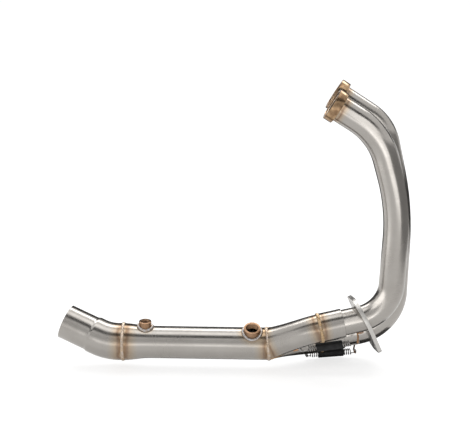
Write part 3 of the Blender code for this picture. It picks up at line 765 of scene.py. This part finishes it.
def make_bosses(route):
    """Two turned bosses with ridged bores"""
    size = sizes()
    finish = turned_metal("boss_finish", colours().boss, (0.38, 0.24, 0.15, 1.0),
                          (500.0, 500.0, 500.0))
    for name, _, placed, along, (outer, bore, mouth, height) in route.bosses():
        top = mid_radius(along) + height
        edge = 0.0006
        outline = [(outer / 2 - edge, top), (outer / 2 - edge * 0.3, top - edge * 0.3),
                   (outer / 2, top - edge), (outer / 2, size.mid_od / 4), (bore / 2, size.mid_od / 4)]
        outline += thread_outline(bore / 2, top - height - 0.001, top - (mouth - bore) / 2)
        outline.append((mouth / 2, top))
        boss = turned(name + "_turned", outline, placed, FINE_SIDES)
        saddle = round_bar("saddle", size.mid_od / 2 - 0.0008, size.mid_length, route.mid_frame,
                           FINE_SIDES)
        cut_away(boss, saddle)
        hand_over(boss, [name], finish, 32.0)


def thread_outline(radius, low, high):
    """Thread ridges up a bore, each a plain ring"""
    outline = [(radius, low)]
    root = radius + THREAD_DEPTH
    for turn in range(int((high - low) / THREAD_PITCH)):
        height = low + turn * THREAD_PITCH
        outline += [(root, height + THREAD_PITCH * 0.45), (root, height + THREAD_PITCH * 0.55),
                    (radius, height + THREAD_PITCH)]
    return outline


def make_outlet(route):
    """The outlet bend with its reduced spigot"""
    size = sizes()
    start = route.mid_end + route.flow * WELD_HALF_GAP
    axis = turn_about(ACROSS, route.flow, OUTLET_ROLL)
    points, heading = bent_path(start, route.flow, axis, OUTLET_STEPS)
    narrow = size.spigot_od / size.outlet_od
    swell = [1.0] * len(points)
    end = points[-1]
    shares = [step / 8 for step in range(1, 9)]
    points += [end + heading * SPIGOT_STEP * share for share in shares]
    swell += [1.0 + (narrow - 1.0) * smooth_step(share) for share in shares]
    points += [end + heading * (SPIGOT_STEP + SPIGOT_RUN * share) for share in shares]
    swell += [narrow] * len(shares)
    bend = open_tube("outlet_tube", points, size.outlet_od, size.wall, swell)
    tints = ((route.mid_end, size.outlet_od / 2, 0.021, 0.9),)
    hand_over(bend, ["outlet_bend"], satin_tube("outlet_satin", tints))


def flange_outline(circles, count):
    """The outline round a set of circles, as by a tight band"""
    outline = []
    for step in range(count):
        away = (cos(2 * pi * step / count), sin(2 * pi * step / count))
        x, y, radius = max(circles, key=lambda c: c[0] * away[0] + c[1] * away[1] + c[2])
        outline.append((x + radius * away[0], y + radius * away[1]))
    return outline


def ring_outline(x, y, radius, count):
    return [(x + radius * cos(2 * pi * k / count), y + radius * sin(2 * pi * k / count))
            for k in range(count)]


def make_flange(route):
    """The loose plate that hangs round both header pipes"""
    size = sizes()
    from_end = size.socket_length - SOCKET_STOP + FLANGE_FROM_SOCKET
    near = point_before_end(route.points[NEAR], from_end)[0]
    normal = turn_about(turn_about(route.heading[NEAR], ACROSS, FLANGE_LEAN), UP, FLANGE_YAW)
    far = crossing(route.points[FAR], near, normal)
    lobes = [(-FLANGE_PIPE, 0.0, FLANGE_LOBE), (FLANGE_PIPE, 0.0, FLANGE_LOBE),
             (0.0, -FLANGE_STUD, FLANGE_EAR), (0.0, FLANGE_STUD, FLANGE_EAR)]
    outlines = [flange_outline(lobes, 2 * FINE_SIDES)]
    outlines += [ring_outline(x, 0.0, FLANGE_BORE, FINE_SIDES) for x in (-FLANGE_PIPE, FLANGE_PIPE)]
    outlines += [ring_outline(0.0, y, FLANGE_STUD_BORE, 48) for y in (-FLANGE_STUD, FLANGE_STUD)]
    plate = new_curve("flange_plate", "2D")
    plate.data.fill_mode = "BOTH"
    plate.data.extrude = size.flange_thickness / 2
    for outline in outlines:
        add_line(plate, [(x, y, 0.0) for x, y in outline], True)
    bpy.ops.object.convert(target="MESH")
    plate = bpy.context.object
    edit_all(plate)
    bpy.ops.mesh.remove_doubles(threshold=0.000005)
    bpy.ops.mesh.normals_make_consistent(inside=False)
    bpy.ops.mesh.dissolve_limited(angle_limit=radians(0.5))
    leave_edit()
    modify(plate, "BEVEL", width=0.0005, segments=2, limit_method="ANGLE", angle_limit=radians(40.0))
    set_down(plate, placement((near + far) / 2, normal, far - near))
    finish = turned_metal("plate_finish", colours().plate, (0.66, 0.64, 0.61, 1.0),
                          (120.0, 900.0, 120.0), 0.38)
    hand_over(plate, ["twin_port_flange"], finish)


# Springs

def under_pipe(point, heading, radius, lean):
    """The centre of a rod that lies along the underside of a pipe, and the way down there"""
    level_down = -(UP - heading * UP.dot(heading)).normalized()
    down = turn_about(level_down, heading, -lean)
    return point + down * (radius + sizes().hook_wire / 2 + 0.0006), down


def under_header(route, side, from_end, lean):
    point, heading = point_before_end(route.points[side], from_end)
    return under_pipe(point, heading, sizes().header_od / 2, lean)


def under_branch(route, side, share, lean):
    point, heading, radius = route.branch_point(side, share)
    return under_pipe(point, heading, radius, lean)


def make_hook(name, foot_end, foot, seat, away, down, slot, finish):
    """A bent rod: foot along the pipe, drop beside the spring's eye and a pin through it"""
    wire = sizes().hook_wire
    clear = (wire + sizes().spring_wire) / 2 + 0.0003
    inside = seat - away * clear
    beside = away.cross(down).normalized()
    if beside.dot(foot - seat) < 0.0:
        beside = -beside
    drop = (inside - foot).dot(down)
    points = [foot_end, foot, foot.lerp(inside + beside * clear * 1.5, 0.25) + down * drop * 0.1,
              inside + beside * clear * 1.6 - down * min(drop * 0.3, wire),
              inside + beside * clear * 0.9, inside - beside * clear,
              inside - beside * clear * 1.9 + away * wire * 0.4]
    rod = bent_rod(name + "_rod", eased(points), wire / 2, 16)
    hand_over(rod, [name], finish, 60.0)


def foot_bead(name, foot_end, foot):
    """A short weld along the foot of a hook"""
    steps = 16
    along = [foot_end.lerp(foot, step / steps) for step in range(steps + 1)]
    swell = [ripple * (0.75 + 0.35 * sin(pi * step / steps))
             for step, ripple in enumerate(ripples(steps + 1))]
    bead = bent_rod(name, along, FOOT_BEAD, BEAD_SIDES, swell=swell)
    hand_over(bead, [], bead_metal(name + "_finish", colours().hook), 60.0)


def make_springs(route):
    """Both springs with their sleeves and the hooks that hold them"""
    size = sizes()
    wire = wire_metal("wire_finish", colours().wire)
    warm = turned_metal("hook_finish", colours().hook, colours().brown, (300.0, 300.0, 300.0), 0.28)
    rubber = sleeve_rubber("sleeve_finish")
    from_end = size.socket_length - SOCKET_STOP + HEADER_HOOK_FROM_SOCKET
    for side, name in SIDE_NAMES.items():
        depth, lean = HEADER_HOOK[side]
        under, down = under_header(route, side, from_end, lean)
        header_seat = under + down * depth
        turn = lean + side * HOOK_TURN
        feet = [under_header(route, side, back, turn)[0] for back in (from_end + HOOK_FOOT, from_end)]
        make_hook("header_hook_" + name, *feet, header_seat, -route.heading[side], down,
                  "tinted_steel", warm)
        foot_bead("header_hook_bead_" + name, *feet)
        share, depth, lean = COLLECTOR_HOOK[side]
        under, down = under_branch(route, side, share, lean)
        branch_seat = under + down * depth
        turn = lean + side * HOOK_TURN
        axis = (header_seat - branch_seat).normalized()
        feet = [under_branch(route, side, along, turn)[0]
                for along in (share + HOOK_FOOT / BRANCH_RUN, share)]
        make_hook("collector_hook_" + name, *feet, branch_seat, -axis, down, "spring_wire", wire)
        foot_bead("collector_hook_bead_" + name, *feet)
        placed = placement((header_seat + branch_seat) / 2, axis, down)
        path = [placed @ point for point in coil_points((header_seat - branch_seat).length)]
        coil = bent_rod("coil_" + name, path, size.spring_wire / 2, BEAD_SIDES)
        hand_over(coil, ["spring_" + name], wire, 60.0)
        sleeve = turned("sleeve_" + name, sleeve_outline(), placed, 64)
        hand_over(sleeve, ["spring_sleeve_" + name], rubber, 50.0)


def coil_points(between_seats):
    """A close coil about local Z with an open eye at each end"""
    size = sizes()
    coil, centre = (size.spring_od - size.spring_wire) / 2, between_seats / 2
    loop = [(SPRING_EYE, COIL_HALF + size.spring_wire)]
    for turn in (pi * step / 18 for step in range(19)):
        loop.append((SPRING_EYE * cos(turn), centre - SPRING_EYE + SPRING_EYE * sin(turn)))
    loop.append((-SPRING_EYE, COIL_HALF + size.spring_wire * 2))
    points = [Vector((x, 0.0, -z)) for x, z in loop[::-1]]
    total = size.spring_turns * COIL_STEPS
    for step in range(total + 1):
        turn = 2 * pi * step / COIL_STEPS
        rise = -COIL_HALF + 2 * COIL_HALF * step / total
        points.append(Vector((coil * cos(turn), coil * sin(turn), rise)))
    return points + [Vector((x, 0.0, z)) for x, z in loop]


def sleeve_outline():
    """A shrunk sleeve, whose outside follows the coil a little"""
    outer, edge, dent = sizes().sleeve_od / 2, 0.0005, 0.00012
    bore = outer - SLEEVE_WALL
    outline = [(outer - edge, SLEEVE_HALF)]
    count = 48
    for step in range(count + 1):
        height = SLEEVE_HALF - edge - (2 * SLEEVE_HALF - 2 * edge) * step / count
        outline.append((outer - dent * (1 + cos(2 * pi * step / 4)), height))
    return outline + [(outer - edge, -SLEEVE_HALF), (bore, -SLEEVE_HALF), (bore, SLEEVE_HALF)]


# Studio

def new_sheet(name, size, cuts):
    """A flat square sheet at the origin"""
    deselect()
    bpy.ops.mesh.primitive_grid_add(x_subdivisions=cuts, y_subdivisions=cuts, size=size,
                                    location=(0.0, 0.0, 0.0))
    sheet = bpy.context.object
    sheet.name = name
    return sheet


def make_floor():
    """A pale floor that the camera sees as white, with the object's shadow on it"""
    floor = new_sheet("studio_floor", 12.0, 4)
    set_down(floor, Matrix.Translation((0.0, 0.0, FRAME_BOX[0][2] - 0.002)))
    finish = Finish("floor_finish")
    rays = finish.add("ShaderNodeLightPath").outputs
    mirrored = finish.sum("MAXIMUM", rays["Is Glossy Ray"], rays["Is Transmission Ray"])
    mirrored = finish.sum("MULTIPLY", mirrored, FLOOR_MIRRORED)
    seen = finish.sum("MAXIMUM", rays["Is Camera Ray"], mirrored)
    finish.shader.inputs["Base Color"].default_value = tuple(colours().floor)
    finish.shader.inputs["Roughness"].default_value = 0.9
    finish.shader.inputs["Emission Color"].default_value = WHITE
    finish.join(finish.sum("MULTIPLY", seen, FLOOR_GLOW), finish.shader.inputs["Emission Strength"])
    floor.data.materials.append(finish.material)


def make_card(name, size, place, look, grey, glow=0.0):
    """A card that is seen only in mirrors: dark for a band on the tubes, glowing for a highlight"""
    card = new_sheet(name, 1.0, 2)
    card.scale = (*size, 1.0)
    bpy.ops.object.transform_apply(location=False, rotation=False, scale=True)
    set_down(card, placement(Vector(place), Vector(look) - Vector(place), FRONT))
    finish = Finish(name + "_felt")
    finish.close((grey, grey, grey, 1.0), 0.9, 0.0)
    finish.shader.inputs["Emission Color"].default_value = WHITE
    finish.shader.inputs["Emission Strength"].default_value = glow
    card.data.materials.append(finish.material)
    card.visible_camera = False
    card.visible_diffuse = False
    card.visible_shadow = False


def make_lamp(name, energy, width, height, place, look):
    """A white area lamp that the camera doesn't see"""
    deselect()
    bpy.ops.object.light_add(type="AREA", location=(0.0, 0.0, 0.0))
    lamp = bpy.context.object
    lamp.name = name
    lamp.data.shape = "RECTANGLE"
    lamp.data.size = width
    lamp.data.size_y = height
    lamp.data.energy = energy
    lamp.visible_camera = False
    lamp.matrix_world = placement(Vector(place), Vector(place) - Vector(look), FRONT)
    return lamp


def only_headers(lamp):
    """Lets a lamp reach the header pipes alone, as a snoot does"""
    reached = bpy.data.collections.new("reached_by_" + lamp.name)
    for side in SIDE_NAMES.values():
        reached.objects.link(bpy.data.objects["header_" + side])
    lamp.light_linking.receiver_collection = reached


def make_world():
    """Plain light all round, white to the camera and to polished metal"""
    world = bpy.data.worlds.new("studio_world")
    bpy.context.scene.world = world
    world.use_nodes = True
    tree = world.node_tree
    backdrop = tree.nodes["Background"]
    rays = tree.nodes.new("ShaderNodeLightPath").outputs
    seen = rays["Is Camera Ray"]
    for kind in ("Is Glossy Ray", "Is Transmission Ray"):
        either = tree.nodes.new("ShaderNodeMath")
        either.operation = "MAXIMUM"
        tree.links.new(seen, either.inputs[0])
        tree.links.new(rays[kind], either.inputs[1])
        seen = either.outputs["Value"]
    strength = tree.nodes.new("ShaderNodeMapRange")
    strength.inputs["To Min"].default_value = WORLD_GLOW
    strength.inputs["To Max"].default_value = 1.0
    tree.links.new(seen, strength.inputs["Value"])
    tree.links.new(strength.outputs["Result"], backdrop.inputs["Strength"])
    backdrop.inputs["Color"].default_value = WHITE


def make_camera():
    """The camera of the picture"""
    view = bpy.data.cameras.new("camera")
    camera = bpy.data.objects.new("camera", view)
    bpy.context.scene.collection.objects.link(camera)
    camera.matrix_world = placement(CAMERA_PLACE, CAMERA_PLACE - CAMERA_TARGET, CAMERA_RIGHT)
    view.sensor_fit = "HORIZONTAL"
    view.sensor_width = SENSOR_WIDTH
    view.lens = LENS
    view.shift_x, view.shift_y = (pixels / IMAGE_WIDTH for pixels in IMAGE_SHIFT)
    bpy.context.scene.camera = camera


def make_studio():
    bpy.context.scene.view_settings.view_transform = "Standard"
    make_camera()
    make_floor()
    make_world()
    middle = (-0.12, 0.0, -0.3)
    header = (0.08, 0.0, -0.18)
    make_lamp("back_high_lamp", 9.0, 2.0, 0.42, (-0.12, 0.90, 0.76), middle)
    make_lamp("overhead_lamp", 3.2, 1.6, 0.6, (-0.12, 0.06, 1.2), middle)
    make_lamp("front_lamp", 1.6, 1.6, 0.36, (-0.2, -1.6, -0.21), middle)
    make_card("front_dark_card", (3.2, 0.46), (-0.12, -0.54, 0.84), middle, 0.13)
    make_card("front_grey_card", (3.2, 0.80), (-0.12, -1.45, 0.62), middle, 0.80, 0.30)
    make_card("back_dark_card", (3.2, 0.46), (-0.12, 1.12, 0.12), middle, 0.06)
    make_card("back_low_card", (2.2, 0.22), (0.05, 0.38, -0.29), (0.05, 0.0, -0.29), 0.06)
    make_card("right_card", (0.7, 0.45), (0.46, -0.10, -0.17), header, 0.52)
    # Painted shade: a dark card on the floor under the pipe, mirrored by the tubes' undersides in place
    # of the floor's shadow there
    make_card("under_shade_card", (0.46, 0.08), (-0.09, 0.004, -0.4078), (-0.09, 0.004, 0.0), 0.10)
    only_headers(make_lamp("left_header_lamp", 1.6, 0.50, 0.6, (-0.44, -0.26, -0.10), header))
    only_headers(make_lamp("right_header_lamp", 1.3, 0.44, 0.8, (0.28, -0.58, 0.02), header))


# Operators

class LINKPIPE_OT_collars(bpy.types.Operator):
    """Turn both port collars"""

    bl_idname = "link_pipe.collars"
    bl_label = "Port collars"

    def execute(self, context):
        make_collars()
        return {"FINISHED"}


class LINKPIPE_OT_headers(bpy.types.Operator):
    """Bend both header pipes"""

    bl_idname = "link_pipe.headers"
    bl_label = "Header pipes"

    def execute(self, context):
        make_headers(Route())
        return {"FINISHED"}


class LINKPIPE_OT_collector(bpy.types.Operator):
    """Make the slip sockets and the branches"""

    bl_idname = "link_pipe.collector"
    bl_label = "Collector"

    def execute(self, context):
        make_collector(Route())
        return {"FINISHED"}


class LINKPIPE_OT_mid_pipe(bpy.types.Operator):
    """Make the flared mid pipe"""

    bl_idname = "link_pipe.mid_pipe"
    bl_label = "Mid pipe"

    def execute(self, context):
        make_mid_pipe(Route())
        return {"FINISHED"}


class LINKPIPE_OT_bosses(bpy.types.Operator):
    """Turn both bosses"""

    bl_idname = "link_pipe.bosses"
    bl_label = "Bosses"

    def execute(self, context):
        make_bosses(Route())
        return {"FINISHED"}


class LINKPIPE_OT_outlet(bpy.types.Operator):
    """Bend the outlet and draw down its spigot"""

    bl_idname = "link_pipe.outlet"
    bl_label = "Outlet"

    def execute(self, context):
        make_outlet(Route())
        return {"FINISHED"}


class LINKPIPE_OT_beads(bpy.types.Operator):
    """Lay the weld beads"""

    bl_idname = "link_pipe.beads"
    bl_label = "Weld beads"

    def execute(self, context):
        make_beads(Route())
        return {"FINISHED"}


class LINKPIPE_OT_flange(bpy.types.Operator):
    """Cut the loose flange plate"""

    bl_idname = "link_pipe.flange"
    bl_label = "Flange plate"

    def execute(self, context):
        make_flange(Route())
        return {"FINISHED"}


class LINKPIPE_OT_springs(bpy.types.Operator):
    """Wind the springs and bend their hooks"""

    bl_idname = "link_pipe.springs"
    bl_label = "Springs and hooks"

    def execute(self, context):
        make_springs(Route())
        return {"FINISHED"}


class LINKPIPE_OT_studio(bpy.types.Operator):
    """Set up the floor, the lamps and the camera"""

    bl_idname = "link_pipe.studio"
    bl_label = "Studio"

    def execute(self, context):
        make_studio()
        return {"FINISHED"}


OPERATORS = (LINKPIPE_OT_collars, LINKPIPE_OT_headers, LINKPIPE_OT_collector,
             LINKPIPE_OT_mid_pipe, LINKPIPE_OT_bosses, LINKPIPE_OT_outlet, LINKPIPE_OT_beads,
             LINKPIPE_OT_flange, LINKPIPE_OT_springs, LINKPIPE_OT_studio)


class LINKPIPE_PT_panel(bpy.types.Panel):
    """Lists the pieces with their sizes and colours"""

    bl_label = "Link Pipe"
    bl_idname = "LINKPIPE_PT_panel"
    bl_space_type = "VIEW_3D"
    bl_region_type = "UI"
    bl_category = "Link Pipe"

    def draw(self, context):
        for operator in OPERATORS:
            self.layout.operator(operator.bl_idname)
        for group in (sizes(), colours()):
            box = self.layout.box()
            for name in group.bl_rna.properties.keys():
                if name not in ("rna_type", "name"):
                    box.prop(group, name)


CLASSES = (LinkPipeSizes, LinkPipeColours) + OPERATORS + (LINKPIPE_PT_panel,)


def register():
    for kind in CLASSES:
        bpy.utils.register_class(kind)
    bpy.types.Scene.link_pipe_sizes = PointerProperty(type=LinkPipeSizes)
    bpy.types.Scene.link_pipe_colours = PointerProperty(type=LinkPipeColours)


def unregister():
    del bpy.types.Scene.link_pipe_colours
    del bpy.types.Scene.link_pipe_sizes
    for kind in reversed(CLASSES):
        bpy.utils.unregister_class(kind)


def main():
    register()
    bpy.ops.link_pipe.collars()
    bpy.ops.link_pipe.headers()
    bpy.ops.link_pipe.collector()
    bpy.ops.link_pipe.mid_pipe()
    bpy.ops.link_pipe.bosses()
    bpy.ops.link_pipe.outlet()
    bpy.ops.link_pipe.beads()
    bpy.ops.link_pipe.flange()
    bpy.ops.link_pipe.springs()
    bpy.ops.link_pipe.studio()


if __name__ == "__main__":
    main()
